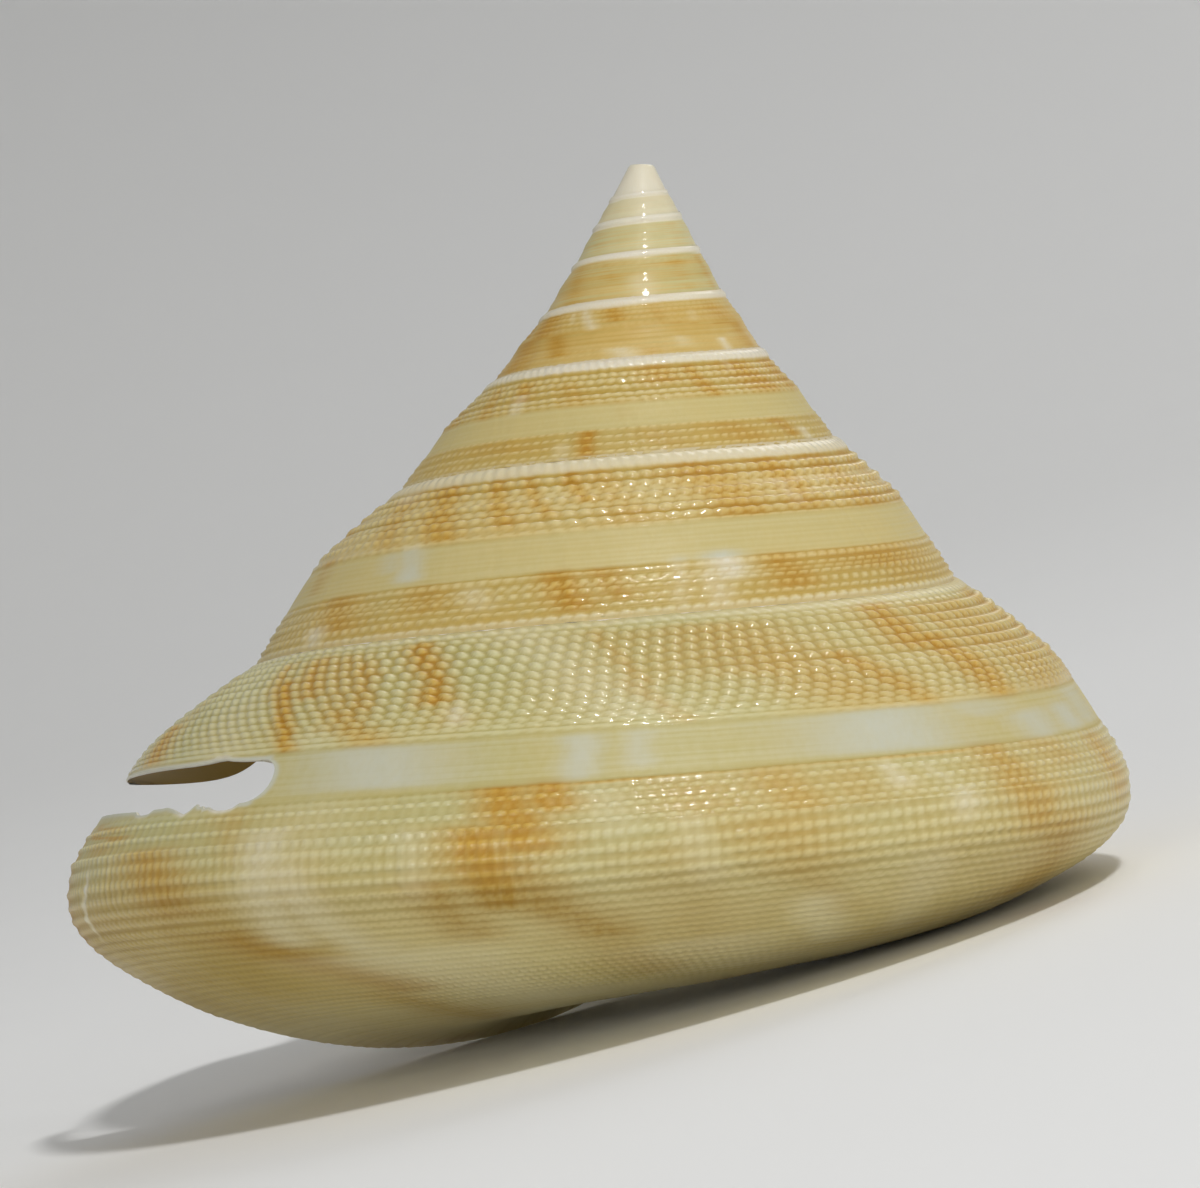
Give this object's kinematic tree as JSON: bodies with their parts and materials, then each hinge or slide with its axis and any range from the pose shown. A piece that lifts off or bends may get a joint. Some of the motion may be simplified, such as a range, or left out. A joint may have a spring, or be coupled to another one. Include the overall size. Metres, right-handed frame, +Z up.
{
  "type": "slit shell",
  "caption": "Conical right-handed sea shell with flat-sided whorls, a narrow open slit in its outer lip and a hollow last whorl behind the mouth.",
  "frame": {"origin": "centre of the bounding box on the surface that the shell rests on", "axes": "+Z up from the resting surface, the shell's own axis leaning about 16 degrees from it towards -X; -Y faces the back of the last whorl, the side away from the mouth; the lip and its slit are at -X"},
  "size_m": [0.0614, 0.0566, 0.0468],
  "materials": {
    "shell": "satin, finely beaded"
  },
  "bodies": {
    "root": {"shell": "shell"}
  },
  "joints": []
}
